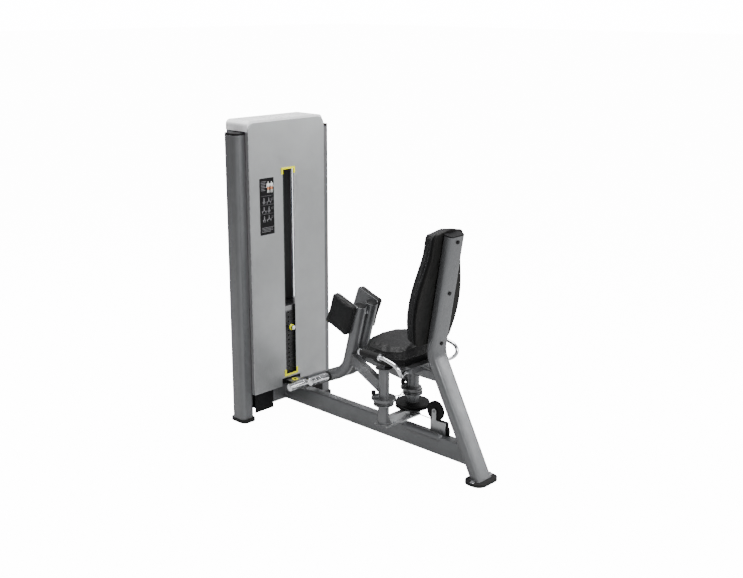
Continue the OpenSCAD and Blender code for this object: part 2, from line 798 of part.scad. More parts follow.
// Centreline of a leg tube; past is how far it runs beyond its two ends
function leg_route(past) =
    let (s = 180 + up_tilt, a = arm_top + past * up_dir, b = arm_end + past * out_dir)
    concat(
        [[-arm_x, a[0], a[1]]],
        arc([-arm_x, arm_arc[0], arm_arc[1]], arm_bend_r, Y, Z, s, s + 180 - inside, 10),
        [[-arm_x, b[0], b[1]]]
    );
module leg_tube() {
    color(GREY) difference() {
        swept_tube(leg_route(0), arm_r, 28, X);
        swept_tube(leg_route(1), arm_r - WALL, 28, X);
        translate([-arm_x - 60, pivot_y, pivot_z]) bar_x(120, pivot_r + fit);
    }
}
// The tube's axis at the height of the pad pivot
pivot_y = arm_elbow[0] + (pivot_z - arm_elbow[1]) * up_dir[0] / up_dir[1];

module arm_brace(sleeve_r) {
    top = [-arm_x, 97, 426];
    foot = [-hub_x, hub_y, 349];
    d = top - foot;
    heading = atan2(-d[0], d[1]);
    rise = atan2(d[2], norm([d[0], d[1]]));
    color(GREY) difference() {
        translate(foot) rotate([0, 0, heading]) rotate([rise, 0, 0])
            translate([-15, 0, -30]) cube([30, norm(d), 60]);
        translate([-hub_x, hub_y, 200]) cylinder(h = 300, r = sleeve_r);
        upper_leg(arm_r);
    }
}

module foot_pegs() {
    color(CHROME) for (y = peg_y) {
        z = arm_elbow[1] + (y - arm_elbow[0]) * out_dir[1] / out_dir[0];
        difference() {
            translate([-arm_x - arm_r - peg_l, y, z]) {
                translate([3, 0, 0]) bar_x(peg_l + 15, peg_r);
                rotate([0, 90, 0]) cylinder(h = 3, r1 = peg_r - 3, r2 = peg_r);
            }
            lower_leg(arm_r);
        }
    }
}

module pad_outline(inset) {
    round_rect(pad_l - 2 * inset, pad_h - 2 * inset, 14);
}
module on_pad() {
    translate([-arm_x - arm_r - 0.5, pad_c[0], pad_c[1]]) rotate([pad_tilt, 0, 0])
        rotate([90, 0, -90]) children();
}
module pad_plate() {
    color(GREY) on_pad() linear_extrude(5) pad_outline(6);
    // Pivot pin, with its nut on the inner side of the tube
    color(STEEL) translate([-arm_x - arm_r - 3, pivot_y, pivot_z])
        bar_x(2 * arm_r + 9.5, pivot_r);
    color(STEEL) translate([-arm_x + arm_r + 0.5, pivot_y, pivot_z])
        rotate([0, 90, 0]) cylinder(h = 6, r = 15, $fn = 6);
}
module thigh_pad() {
    color(VINYL) on_pad() translate([0, 0, 5.3]) linear_extrude(pad_t) pad_outline(0);
}

module left_arm_brace() arm_brace(left_sleeve_r);
module right_arm_brace() mirror([1, 0, 0]) arm_brace(right_sleeve_r);
module left_leg_tube() leg_tube();
module right_leg_tube() mirror([1, 0, 0]) leg_tube();
module left_foot_pegs() foot_pegs();
module right_foot_pegs() mirror([1, 0, 0]) foot_pegs();
module left_pad_plate() pad_plate();
module right_pad_plate() mirror([1, 0, 0]) pad_plate();
module left_thigh_pad() thigh_pad();
module right_thigh_pad() mirror([1, 0, 0]) thigh_pad();

module plunger() {
    color(STEEL) translate([-hub_x, hub_y, 0]) rotate([0, 0, plunger_angle])
        translate([disc_hole_r, 0, disc_z + 1]) {
            cylinder(h = 26, r = plunger_r);
            translate([0, 0, 26]) cylinder(h = 18, r = 11);
        }
}
module left_plunger() plunger();
module right_plunger() translate([2 * hub_x, 0, 0]) plunger();

left_column();
right_column();
column_caps();
column_feet();
top_crossmember();
bottom_crossmember();
kick_plates();
stack_base();
front_shroud();
rear_shroud();
top_hood();
slot_brackets();
placard();
outlet_box();
outlet_plate();
outlet_ring();
guide_rods();
rod_bumpers();
resting_plates();
head_plate();
lifted_plates();
selector_stem();
selector_pin();
base_beam();
beam_cover();
rear_post();
post_cap();
rear_foot();
hub_base();
hub_caps();
seat_rail();
seat_pan();
seat_cushion();
backrest_board();
backrest_cushion();
backrest_bolts();
handles();
grips();
rear_pulley_bracket();
tension_pulley();
turn_pulley();
low_pulley();
top_pulley();
drive_cable();
stack_cable();
sync_cables();
left_hub_sleeve();
right_hub_sleeve();
left_arm_brace();
right_arm_brace();
left_leg_tube();
right_leg_tube();
left_foot_pegs();
right_foot_pegs();
left_pad_plate();
right_pad_plate();
left_thigh_pad();
right_thigh_pad();
left_plunger();
right_plunger();
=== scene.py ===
import json
import math

import bpy
import numpy as np
from mathutils import Matrix, Quaternion, Vector
from mathutils.bvhtree import BVHTree


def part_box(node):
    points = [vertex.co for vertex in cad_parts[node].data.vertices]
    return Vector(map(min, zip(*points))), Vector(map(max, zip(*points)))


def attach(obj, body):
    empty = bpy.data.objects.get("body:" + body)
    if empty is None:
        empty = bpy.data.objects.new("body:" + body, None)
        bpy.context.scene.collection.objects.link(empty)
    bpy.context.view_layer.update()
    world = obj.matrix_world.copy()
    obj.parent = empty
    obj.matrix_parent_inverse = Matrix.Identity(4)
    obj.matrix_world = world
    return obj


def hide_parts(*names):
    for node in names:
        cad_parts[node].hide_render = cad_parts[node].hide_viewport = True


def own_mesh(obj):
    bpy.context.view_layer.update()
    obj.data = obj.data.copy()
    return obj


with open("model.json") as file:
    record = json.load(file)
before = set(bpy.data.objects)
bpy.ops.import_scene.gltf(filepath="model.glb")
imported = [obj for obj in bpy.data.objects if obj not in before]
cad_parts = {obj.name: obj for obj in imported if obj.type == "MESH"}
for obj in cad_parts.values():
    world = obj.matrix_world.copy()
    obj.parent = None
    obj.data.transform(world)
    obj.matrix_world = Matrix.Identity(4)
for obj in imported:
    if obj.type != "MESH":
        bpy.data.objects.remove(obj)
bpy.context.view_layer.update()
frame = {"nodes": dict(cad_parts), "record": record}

NODES = frame["nodes"]
TAU = 2 * math.pi
SCENE = bpy.context.scene

# Places taken from the part's own dimensions, in metres
HUB_X, HUB_Y = 0.105, -0.187
SLEEVE_R = {"left": 0.027, "right": 0.033}
BEND_Y, BEND_Z = -0.417, 0.558
POST_BACK_ANGLE = math.radians(9.35)
POST_LEG_ANGLE = math.radians(27.7)
POST_HALF_DEPTH = 0.025
PULLEY_X = 0.016
SEAT_SEAM_Z = 0.541
BACK_SEAM_Z = 0.0373 + 0.012
PAD_SEAM_Z = 0.0053 + 0.009

CLOTH_STEPS = 20
BEAD_PITCH = 0.004

# ---------------------------------------------------------------- camera and light


def add_camera():
    """The camera fitted to the photo."""
    data = bpy.data.cameras.new("camera")
    data.lens = 51.67
    data.sensor_width = 36
    camera = bpy.data.objects.new("camera", data)
    SCENE.collection.objects.link(camera)
    camera.location = (-3.627, -3.4395, 2.156)
    look = Vector((0.0928, 0.0831, 0.750)) - camera.location
    camera.rotation_mode = "QUATERNION"
    roll = Quaternion((0, 0, 1), math.radians(0.19))
    camera.rotation_quaternion = look.to_track_quat("-Z", "Y") @ roll
    SCENE.camera = camera


def add_area(name, at, target, size, power):
    """A soft rectangular lamp that faces its target."""
    data = bpy.data.lights.new(name, "AREA")
    data.shape = "RECTANGLE"
    data.size, data.size_y = size
    data.energy = power
    lamp = bpy.data.objects.new(name, data)
    SCENE.collection.objects.link(lamp)
    lamp.location = at
    look = Vector(target) - Vector(at)
    lamp.rotation_mode = "QUATERNION"
    lamp.rotation_quaternion = look.to_track_quat("-Z", "Y")


def add_world(seen):
    """A studio: a white backdrop to the camera, and to the surfaces a sky brightest at its foot."""
    world = bpy.data.worlds.new("studio")
    world.use_nodes = True
    SCENE.world = world
    tree = world.node_tree
    back = tree.nodes["Background"]
    back.inputs["Color"].default_value = (0.98, 0.985, 1.0, 1)
    split = tree.nodes.new("ShaderNodeSeparateXYZ")
    tree.links.new(tree.nodes.new("ShaderNodeTexCoord").outputs["Generated"], split.inputs["Vector"])
    sky = tree.nodes.new("ShaderNodeFloatCurve")
    curve = sky.mapping.curves[0]
    for x, y in ((0.49, 0.10), (0.53, 0.85), (0.66, 0.75), (0.8, 0.4)):
        curve.points.new(x, y)
    curve.points[0].location = (0, 0.08)
    curve.points[-1].location = (1, 0.35)
    sky.mapping.update()
    height = tree.nodes.new("ShaderNodeMapRange")
    height.inputs["From Min"].default_value = -1
    tree.links.new(split.outputs["Z"], height.inputs["Value"])
    tree.links.new(height.outputs["Result"], sky.inputs["Value"])
    level = tree.nodes.new("ShaderNodeMix")
    path = tree.nodes.new("ShaderNodeLightPath")
    tree.links.new(path.outputs["Is Camera Ray"], level.inputs["Factor"])
    tree.links.new(sky.outputs["Value"], level.inputs["A"])
    level.inputs["B"].default_value = seen
    tree.links.new(level.outputs["Result"], back.inputs["Strength"])


add_camera()
add_world(16.0)
add_area("key", (-1.2, -4.4, 3.6), (0, 0, 0.6), (2.0, 2.0), 230)
add_area("top", (0.6, 0.6, 4.8), (0, 0, 0.5), (2.6, 2.6), 330)
add_area("side", (3.4, -3.2, 2.3), (0, -0.3, 0.5), (1.4, 2.6), 80)
add_area("back", (-0.5, 4.6, 3.2), (0, 0.3, 0.8), (3.0, 2.0), 200)
add_area("slot", (0, 0.596, 0.95), (0, 0.76, 0.95), (0.05, 0.8), 0.7)

# ---------------------------------------------------------------- materials


class Shader:
    """A material's nodes, over the object's own coordinates in metres."""

    def __init__(self, name):
        self.material = bpy.data.materials.new(name)
        self.material.use_nodes = True
        self.tree = self.material.node_tree
        self.bsdf = self.tree.nodes["Principled BSDF"]
        self.place = self.node("ShaderNodeTexCoord").outputs["Object"]

    def node(self, kind, **settings):
        made = self.tree.nodes.new(kind)
        for key, value in settings.items():
            setattr(made, key, value)
        return made

    def link(self, out, into):
        self.tree.links.new(out, into)

    def noise(self, scale, detail, stretch=None):
        made = self.node("ShaderNodeTexNoise")
        made.inputs["Scale"].default_value = scale
        made.inputs["Detail"].default_value = detail
        made.inputs["Roughness"].default_value = 0.55
        where = self.place
        if stretch:
            mapping = self.node("ShaderNodeMapping")
            mapping.inputs["Scale"].default_value = stretch
            self.link(where, mapping.inputs["Vector"])
            where = mapping.outputs["Vector"]
        self.link(where, made.inputs["Vector"])
        return made.outputs["Fac"]

    def cells(self, scale, feature="DISTANCE_TO_EDGE", warp=0.0):
        made = self.node("ShaderNodeTexVoronoi", feature=feature)
        made.inputs["Scale"].default_value = scale
        where = self.place
        if warp:
            wobble = self.node("ShaderNodeTexNoise")
            wobble.inputs["Scale"].default_value = scale * 0.6
            mixed = self.node("ShaderNodeVectorMath", operation="MULTIPLY_ADD")
            mixed.inputs[1].default_value = (warp, warp, warp)
            self.link(self.place, wobble.inputs["Vector"])
            self.link(wobble.outputs["Color"], mixed.inputs[0])
            self.link(where, mixed.inputs[2])
            where = mixed.outputs[0]
        self.link(where, made.inputs["Vector"])
        return made.outputs["Distance"]

    def span(self, value, low, high, start=0.0, end=1.0):
        made = self.node("ShaderNodeMapRange")
        made.inputs["From Min"].default_value = start
        made.inputs["From Max"].default_value = end
        made.inputs["To Min"].default_value = low
        made.inputs["To Max"].default_value = high
        self.link(value, made.inputs["Value"])
        return made.outputs["Result"]

    def colours(self, value, stops):
        ramp = self.node("ShaderNodeValToRGB")
        elements = ramp.color_ramp.elements
        while len(elements) < len(stops):
            elements.new(0.5)
        for element, (at, colour) in zip(elements, stops):
            element.position = at
            element.color = (*colour, 1)
        self.link(value, ramp.inputs["Fac"])
        return ramp.outputs["Color"]

    def blend(self, factor, low, high):
        mix = self.node("ShaderNodeMix", data_type="RGBA")
        self.link(factor, mix.inputs["Factor"])
        for source, socket in ((low, mix.inputs["A"]), (high, mix.inputs["B"])):
            if isinstance(source, tuple):
                socket.default_value = (*source, 1)
            else:
                self.link(source, socket)
        return mix.outputs["Result"]

    def edge(self, radius, low, high):
        """1 where a surface turns sharply, from the rounded normal."""
        soft = self.node("ShaderNodeBevel", samples=4)
        soft.inputs["Radius"].default_value = radius
        flat = self.node("ShaderNodeNewGeometry")
        dot = self.node("ShaderNodeVectorMath", operation="DOT_PRODUCT")
        self.link(soft.outputs["Normal"], dot.inputs[0])
        self.link(flat.outputs["Normal"], dot.inputs[1])
        return self.span(dot.outputs["Value"], 1.0, 0.0, low, high)

    def bump(self, height, distance, strength, below=None):
        made = self.node("ShaderNodeBump")
        made.inputs["Distance"].default_value = distance
        made.inputs["Strength"].default_value = strength
        self.link(height, made.inputs["Height"])
        if below is not None:
            self.link(below, made.inputs["Normal"])
        return made.outputs["Normal"]

    def done(self, colour=None, roughness=None, normal=None, **fixed):
        for source, socket in ((colour, "Base Color"), (roughness, "Roughness"), (normal, "Normal")):
            if source is not None:
                self.link(source, self.bsdf.inputs[socket])
        for key, value in fixed.items():
            self.bsdf.inputs[key.replace("_", " ")].default_value = value
        return self.material


def shade(colour, k):
    """A colour made k times as bright."""
    return tuple(min(1.0, c * k) for c in colour)


def paint(name, colour, metallic, rough, edge_wear_and_highlight=True, peel=900.0, coat=0.2):
    """Powder coat with metal flake: mottled tone, orange peel, and paler edges, partly worn paint and
    partly a painted highlight.
    """
    s = Shader(name)
    broad = s.noise(5.0, 4.0)
    fleck = s.cells(2600.0, "F1")
    tone = s.colours(broad, [(0.3, shade(colour, 0.93)), (0.7, shade(colour, 1.06))])
    flake = s.span(fleck, 0.0, 0.10, 0.35, 0.0)
    tone = s.blend(flake, tone, shade(colour, 1.5))
    if edge_wear_and_highlight:
        # Paler towards sharp edges, broken up by noise: partly worn paint, partly a painted highlight.
        rim = s.edge(0.0022, 0.80, 0.995)
        broken = s.node("ShaderNodeMath", operation="MULTIPLY")
        s.link(rim, broken.inputs[0])
        s.link(s.span(s.noise(60.0, 4.0), 0.15, 0.75, 0.35, 0.7), broken.inputs[1])
        tone = s.blend(broken.outputs[0], tone, shade(colour, 1.55))
    rough_map = s.span(s.noise(24.0, 5.0), rough - 0.06, rough + 0.08, 0.3, 0.7)
    normal = s.bump(s.noise(peel, 2.0), 0.00006, 0.3)
    return s.done(tone, rough_map, normal, Metallic=metallic, Coat_Weight=coat, Coat_Roughness=0.18)


def plastic(name, colour, rough, grain=700.0, depth=0.00012, coat=0.0, shine=0.5):
    """Moulded plastic: a fine spark-eroded grain, faint cloudiness and handling marks."""
    s = Shader(name)
    tone = s.colours(s.noise(9.0, 5.0), [(0.25, shade(colour, 0.86)), (0.75, shade(colour, 1.12))])
    rub = s.span(s.noise(38.0, 6.0, (1, 1, 4)), 0.0, 1.0, 0.52, 0.72)
    tone = s.blend(s.span(rub, 0.0, 0.22), tone, shade(colour, 1.6))
    rough_map = s.span(s.noise(46.0, 4.0), rough - 0.07, rough + 0.09, 0.3, 0.7)
    normal = s.bump(s.noise(grain, 3.0), depth, 0.6)
    return s.done(tone, rough_map, normal, Coat_Weight=coat, Coat_Roughness=0.12, Specular_IOR_Level=shine)


def rubber(name, colour):
    """Moulded rubber with a fine ribbed skin and a trace of dust."""
    s = Shader(name)
    tone = s.colours(s.noise(30.0, 5.0), [(0.3, shade(colour, 0.75)), (0.7, shade(colour, 1.35))])
    dust = s.span(s.noise(9.0, 6.0), 0.0, 0.3, 0.5, 0.8)
    tone = s.blend(dust, tone, (0.05, 0.049, 0.047))
    rough_map = s.span(s.noise(80.0, 3.0), 0.62, 0.84, 0.3, 0.7)
    fine = s.bump(s.noise(1400.0, 2.0), 0.0001, 0.7)
    normal = s.bump(s.cells(420.0), 0.00018, 0.5, fine)
    return s.done(tone, rough_map, normal, Specular_IOR_Level=0.22)


def vinyl(name, colour):
    """Upholstery vinyl: pebble grain over fine pores and soft creases, with painted shade darkening the
    creases.
    """
    s = Shader(name)
    pebble = s.cells(620.0, warp=0.0012)
    creases = s.span(pebble, 0.0, 1.0, 0.0, 0.11)
    broad = s.noise(7.0, 5.0)
    tone = s.colours(broad, [(0.3, shade(colour, 0.85)), (0.7, shade(colour, 1.2))])
    # The grain's creases are darkened in colour: painted shade.
    tone = s.blend(creases, shade(colour, 0.55), tone)
    rough_map = s.span(s.noise(30.0, 5.0), 0.40, 0.54, 0.3, 0.7)
    pores = s.bump(s.noise(2600.0, 2.0), 0.00008, 0.6)
    grain = s.bump(creases, 0.00022, 0.75, pores)
    normal = s.bump(s.noise(22.0, 3.0), 0.0012, 0.25, grain)
    return s.done(tone, rough_map, normal, Specular_IOR_Level=0.2)


def chrome(name, colour, rough=0.1):
    """Chrome plate, with faint smears from hands."""
    s = Shader(name)
    tone = s.colours(s.noise(12.0, 4.0), [(0.3, shade(colour, 0.93)), (0.7, shade(colour, 1.04))])
    smear = s.span(s.noise(28.0, 6.0, (1, 1, 3)), rough * 0.6, rough * 1.9, 0.35, 0.7)
    normal = s.bump(s.noise(160.0, 3.0), 0.00005, 0.35)
    return s.done(tone, smear, normal, Metallic=1.0)


def steel(name, colour, rough=0.32):
    """Zinc-plated steel with fine turning marks and a slight cloudiness."""
    s = Shader(name)
    tone = s.colours(s.noise(40.0, 5.0), [(0.3, shade(colour, 0.85)), (0.7, shade(colour, 1.12))])
    lines = s.noise(120.0, 2.0, (1, 1, 22))
    rough_map = s.span(lines, rough - 0.1, rough + 0.12, 0.3, 0.7)
    normal = s.bump(lines, 0.00006, 0.5)
    return s.done(tone, rough_map, normal, Metallic=1.0)


def iron(name, colour):
    """Hammered black finish of the weight plates, paler at the edges: partly rubbed metal, partly a
    painted highlight.
    """
    s = Shader(name)
    tone = s.colours(s.noise(18.0, 5.0), [(0.3, shade(colour, 0.7)), (0.7, shade(colour, 1.5))])
    # Paler towards sharp edges: partly rubbed metal, partly a painted highlight.
    tone = s.blend(s.edge(0.0018, 0.8, 0.995), tone, (0.16, 0.16, 0.165))
    rough_map = s.span(s.noise(50.0, 4.0), 0.34, 0.52, 0.3, 0.7)
    normal = s.bump(s.cells(260.0, "SMOOTH_F1"), 0.0005, 0.5)
    return s.done(tone, rough_map, normal, Metallic=0.35)


def plywood(name, colour):
    """Stained plywood, with its grain along Z."""
    s = Shader(name)
    grain = s.noise(14.0, 6.0, (9, 9, 0.6))
    tone = s.colours(grain, [(0.3, shade(colour, 0.6)), (0.7, shade(colour, 1.7))])
    rough_map = s.span(grain, 0.5, 0.72, 0.3, 0.7)
    return s.done(tone, rough_map, s.bump(grain, 0.0003, 0.6), Specular_IOR_Level=0.15)


def sheath(name, colour):
    """Coated wire rope: the lay of the strands shows through the coat as a spiral."""
    s = Shader(name)
    lay = s.node("ShaderNodeTexWave", wave_type="BANDS", bands_direction="DIAGONAL")
    lay.inputs["Scale"].default_value = 90.0
    s.link(s.place, lay.inputs["Vector"])
    tone = s.colours(lay.outputs["Fac"], [(0.2, shade(colour, 0.6)), (0.8, shade(colour, 1.6))])
    rough_map = s.span(s.noise(90.0, 3.0), 0.3, 0.48, 0.3, 0.7)
    return s.done(tone, rough_map, s.bump(lay.outputs["Fac"], 0.0003, 0.6))


MATERIALS = {
    "frame_paint": paint("frame_paint", (0.130, 0.133, 0.138), 0.62, 0.35),
    "shroud_paint": paint("shroud_paint", (0.34, 0.348, 0.353), 0.65, 0.36, peel=1300.0),
    # A paler copy of the shroud paint for the tube along the shroud's edge: a painted highlight.
    "painted_rim_highlight": paint("painted_rim_highlight", (0.56, 0.57, 0.575), 0.5, 0.28, edge_wear_and_highlight=False),
    "hood_plastic": plastic("hood_plastic", (0.86, 0.86, 0.87), 0.28, coat=0.4),
    "black_plastic": plastic("black_plastic", (0.0045, 0.0045, 0.005), 0.45, shine=0.12),
    "black_rubber": rubber("black_rubber", (0.009, 0.009, 0.0095)),
    "upholstery": vinyl("upholstery", (0.0075, 0.0075, 0.008)),
    "chrome": chrome("chrome", (0.80, 0.81, 0.83)),
    "steel": steel("steel", (0.42, 0.43, 0.45)),
    "stack_iron": iron("stack_iron", (0.012, 0.012, 0.013)),
    "accent_yellow": plastic("accent_yellow", (0.86, 0.84, 0.0), 0.4, shine=0.1),
    "board_wood": plywood("board_wood", (0.008, 0.0078, 0.0075)),
    "cable_sheath": sheath("cable_sheath", (0.012, 0.012, 0.013)),
    "white_mark": plastic("white_mark", (0.7, 0.7, 0.68), 0.4, grain=1500.0),
    "warm_mark": plastic("warm_mark", (0.62, 0.22, 0.09), 0.4, grain=1500.0),
    "grey_mark": plastic("grey_mark", (0.17, 0.17, 0.18), 0.4, grain=1500.0),
}

# ---------------------------------------------------------------- mesh helpers


def dress(obj, slot, material=None):
    """Gives a piece the material of its slot, or another material that is named."""
    obj.data.materials.clear()
    obj.data.materials.append(MATERIALS[material or slot])


def add_mesh(name, verts, faces, body, slot, material, smooth):
    """A looks-only piece that rides on a body."""
    mesh = bpy.data.meshes.new(name)
    mesh.from_pydata([tuple(v) for v in verts], [], faces)
    mesh.update()
    mesh.polygons.foreach_set("use_smooth", [smooth] * len(mesh.polygons))
    obj = bpy.data.objects.new(name, mesh)
    SCENE.collection.objects.link(obj)
    dress(obj, slot, material)
    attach(obj, body)
    return obj


class Parts:
    """Vertices and faces gathered for one mesh."""

    def __init__(self):
        self.verts, self.faces = [], []

    def add(self, verts, faces):
        base = len(self.verts)
        self.verts += [Vector(v) for v in verts]
        self.faces += [[base + i for i in f] for f in faces]

    def make(self, name, body, slot, material=None, smooth=True):
        return add_mesh(name, self.verts, self.faces, body, slot, material, smooth)


def frame_of(axis):
    """A rotation that takes +Z to an axis."""
    z = Vector(axis).normalized()
    x = z.orthogonal().normalized()
    return Matrix((x, z.cross(x), z)).transposed()


def lathe(parts, centre, axis, profile, sides=40, closed=True):
    """Turns (radius, height) pairs about an axis; zero radius closes an end."""
    turn = frame_of(axis)
    centre = Vector(centre)
    verts, rows = [], []
    for r, h in profile:
        if r < 1e-7:
            rows.append([len(verts)])
            verts.append(centre + turn @ Vector((0, 0, h)))
            continue
        rows.append(list(range(len(verts), len(verts) + sides)))
        for k in range(sides):
            a = TAU * k / sides
            verts.append(centre + turn @ Vector((r * math.cos(a), r * math.sin(a), h)))
    faces = []
    pairs = list(zip(rows, rows[1:])) + ([(rows[-1], rows[0])] if closed else [])
    for low, high in pairs:
        if len(low) == 1 and len(high) == 1:
            continue
        for k in range(sides):
            n = (k + 1) % sides
            quad = [low[k % len(low)], low[n % len(low)], high[n % len(high)], high[k % len(high)]]
            unique = list(dict.fromkeys(quad))
            if len(unique) > 2:
                faces.append(unique)
    parts.add(verts, faces)


def tube(parts, points, radius, sides, closed=False):
    """Sweeps a circle along points; radius is a number or one for each point."""
    points = [Vector(p) for p in points]
    count = len(points)
    radii = radius if hasattr(radius, "__len__") else [radius] * count
    tangents = []
    for i in range(count):
        a = points[(i - 1) % count if closed else max(i - 1, 0)]
        b = points[(i + 1) % count if closed else min(i + 1, count - 1)]
        tangents.append((b - a).normalized())
    normal = tangents[0].orthogonal().normalized()
    verts, faces = [], []
    for p, t, r in zip(points, tangents, radii):
        normal = (normal - t * normal.dot(t)).normalized()
        side = t.cross(normal)
        for k in range(sides):
            a = TAU * k / sides
            verts.append(p + r * (math.cos(a) * normal + math.sin(a) * side))
    for i in range(count if closed else count - 1):
        a, b = i * sides, ((i + 1) % count) * sides
        for k in range(sides):
            n = (k + 1) % sides
            faces.append([a + k, a + n, b + n, b + k])
    if not closed:
        faces.append(list(range(sides))[::-1])
        faces.append([(count - 1) * sides + k for k in range(sides)])
    parts.add(verts, faces)


def ring(centre, axis, radius, count):
    """Points on a circle about an axis."""
    turn = frame_of(axis)
    angles = [TAU * k / count for k in range(count)]
    return [
        Vector(centre) + turn @ Vector((radius * math.cos(a), radius * math.sin(a), 0))
        for a in angles
    ]


def weld_bead(parts, points, radius, closed=True):
    """A rippled fillet bead that follows points."""
    points = [Vector(p) for p in points]
    if closed:
        points = points + [points[0]]
    steps = [0.0]
    for a, b in zip(points, points[1:]):
        steps.append(steps[-1] + (b - a).length)
    count = max(12, int(steps[-1] / (BEAD_PITCH / 3)))
    path = []
    at = 0
    for i in range(count):
        s = steps[-1] * i / (count if closed else count - 1)
        while at < len(points) - 2 and steps[at + 1] < s:
            at += 1
        span = steps[at + 1] - steps[at]
        path.append(points[at].lerp(points[at + 1], (s - steps[at]) / span if span else 0))
    radii = [radius * (1 + 0.16 * math.cos(TAU * i / 3)) for i in range(count)]
    tube(parts, path, radii, 8, closed)


def round_box(w, h, r, steps=6):
    """The outline of a box with rounded corners."""
    out = []
    for cx, cy, a0 in ((1, 1, 0), (-1, 1, 90), (-1, -1, 180), (1, -1, 270)):
        for k in range(steps + 1):
            a = math.radians(a0 + 90 * k / steps)
            out.append((cx * (w / 2 - r) + r * math.cos(a), cy * (h / 2 - r) + r * math.sin(a)))
    return out


# ---------------------------------------------------------------- the CAD nodes' finish

BEVEL = {
    "front_shroud": 0.0011, "rear_shroud": 0.0011, "top_hood": 0.0035, "column_caps": 0.0018,
    "column_feet": 0.003, "rear_foot": 0.003, "rear_post": 0.0, "base_beam": 0.0, "post_cap": 0.0015,
    "handles": 0.0008, "grips": 0.0008, "drive_cable": 0.0, "sync_cables": 0.0, "hub_caps": 0.0012,
    "left_leg_tube": 0.0006, "right_leg_tube": 0.0006, "resting_plates": 0.0015, "lifted_plates": 0.0015,
    "head_plate": 0.0015, "selector_stem": 0.0, "placard": 0.0005, "seat_pan": 0.002,
}
SLOTS = {row["node"]: row["material_slot"] for row in frame["record"]["subparts"]}


def finish_node(name, obj):
    """A CAD node's material, with its hard edges eased."""
    slot = SLOTS[name]
    obj.data.materials.clear()
    obj.data.materials.append(MATERIALS[slot])
    if obj.data.has_custom_normals:
        with bpy.context.temp_override(object=obj, active_object=obj, mesh=obj.data):
            bpy.ops.mesh.customdata_custom_splitnormals_clear()
    obj.data.polygons.foreach_set("use_smooth", [True] * len(obj.data.polygons))
    weld = obj.modifiers.new("weld", "WELD")
    weld.merge_threshold = 0.00002
    width = BEVEL.get(name, 0.001)
    if width:
        bevel = obj.modifiers.new("bevel", "BEVEL")
        bevel.width = width
        bevel.segments = 2
        bevel.limit_method = "ANGLE"
        bevel.angle_limit = math.radians(32)
        bevel.use_clamp_overlap = True
        bevel.miter_outer = "MITER_ARC"
        weighted = obj.modifiers.new("weighted", "WEIGHTED_NORMAL")
        weighted.mode = "FACE_AREA"
        weighted.weight = 60
    else:
        split = obj.modifiers.new("split", "EDGE_SPLIT")
        split.split_angle = math.radians(32)


for node_name, node_obj in NODES.items():
    finish_node(node_name, node_obj)


def second_finish(node, material, inside):
    """Gives the faces of a CAD node whose middle passes a test another finish."""
    obj = NODES[node]
    obj.data.materials.append(MATERIALS[material])
    picked = [1 if inside(p.center) else 0 for p in obj.data.polygons]
    obj.data.polygons.foreach_set("material_index", picked)
    obj.data.update()


def from_hub(c):
    """How far a point is from the axis of the nearer hub."""
    return math.hypot(abs(c.x) - HUB_X, c.y - HUB_Y)


second_finish("right_hub_sleeve", "black_plastic",
              lambda c: c.z < 0.2256 and from_hub(c) > SLEEVE_R["right"] + 0.0005)
second_finish("rear_pulley_bracket", "shroud_paint", lambda c: abs(c.x - PULLEY_X) < 0.0132)
second_finish("hub_base", "shroud_paint", lambda c: c.z < 0.1965 and from_hub(c) > 0.0385)
second_finish("hub_caps", "steel", lambda c: c.z > 0.4536 and from_hub(c) < 0.012)
for pad_plate in ("left_pad_plate", "right_pad_plate"):
    second_finish(pad_plate, "steel", lambda c: abs(c.x) < 0.07)
second_finish("backrest_bolts", "black_plastic", lambda c: True)

# ---------------------------------------------------------------- cushions


def evaluated(obj):
    """A mesh with its modifiers applied."""
    return bpy.data.meshes.new_from_object(obj.evaluated_get(bpy.context.evaluated_depsgraph_get()))


def positions(mesh):
    co = np.empty(len(mesh.vertices) * 3)
    mesh.vertices.foreach_get("co", co)
    return co.reshape(-1, 3)


def set_positions(mesh, co):
    mesh.vertices.foreach_set("co", co.astype(np.float32).ravel())
    mesh.update()


def normals_of(mesh):
    n = np.empty(len(mesh.vertices) * 3)
    mesh.vertices.foreach_get("normal", n)
    return n.reshape(-1, 3)


def relaxed(mesh, co, rounds, factor=0.5):
    """Points moved toward the mean of their neighbours."""
    edges = np.empty(len(mesh.edges) * 2, int)
    mesh.edges.foreach_get("vertices", edges)
    a, b = edges.reshape(-1, 2).T
    degree = np.bincount(np.concatenate([a, b]), minlength=len(co))[:, None]
    for _ in range(rounds):
        total = np.zeros_like(co)
        np.add.at(total, a, co[b])
        np.add.at(total, b, co[a])
        co = co + factor * (total / degree - co)
    return co


